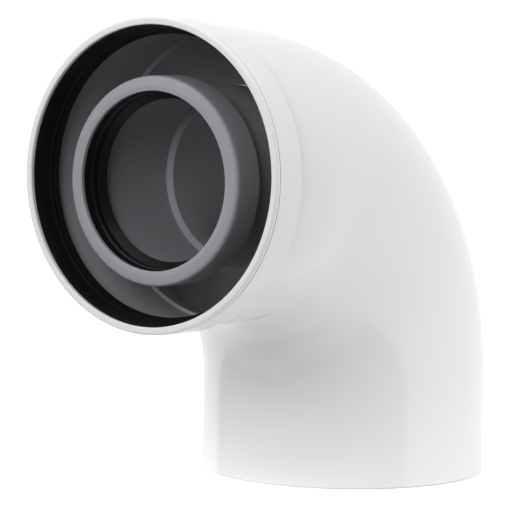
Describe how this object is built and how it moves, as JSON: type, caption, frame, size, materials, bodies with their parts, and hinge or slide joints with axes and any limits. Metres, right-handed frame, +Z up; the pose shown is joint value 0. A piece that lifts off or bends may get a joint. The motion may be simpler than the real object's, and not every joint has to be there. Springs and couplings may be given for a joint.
{
  "type": "coaxial flue elbow",
  "caption": "Rigid near-right-angle coaxial elbow that joins a boiler's inner flue pipe and outer air duct, with a sealed socket at one end and a plain spigot at the other.",
  "frame": {"origin": "centre of the casing spigot's open end", "axes": "+Z up along the spigot's axis into the elbow; the mouth faces -Y, tilted 3 degrees up towards +Z; X = 0 is the plane of both pipe axes"},
  "size_m": [0.1066, 0.1676, 0.1647],
  "materials": {
    "casing": "gloss white coating outside, grey primer inside",
    "casing_ring": "gloss white coating",
    "seal_rubber": "black EPDM, slightly shiny",
    "flue": "satin grey polypropylene",
    "spacer": "natural polypropylene"
  },
  "bodies": {
    "root": {"casing_elbow": "casing", "seal_retaining_ring": "casing_ring", "casing_lip_seal": "seal_rubber", "flue_elbow": "flue", "flue_lip_seal": "seal_rubber", "socket_spacer": "spacer", "spigot_spacer": "spacer"}
  },
  "joints": []
}
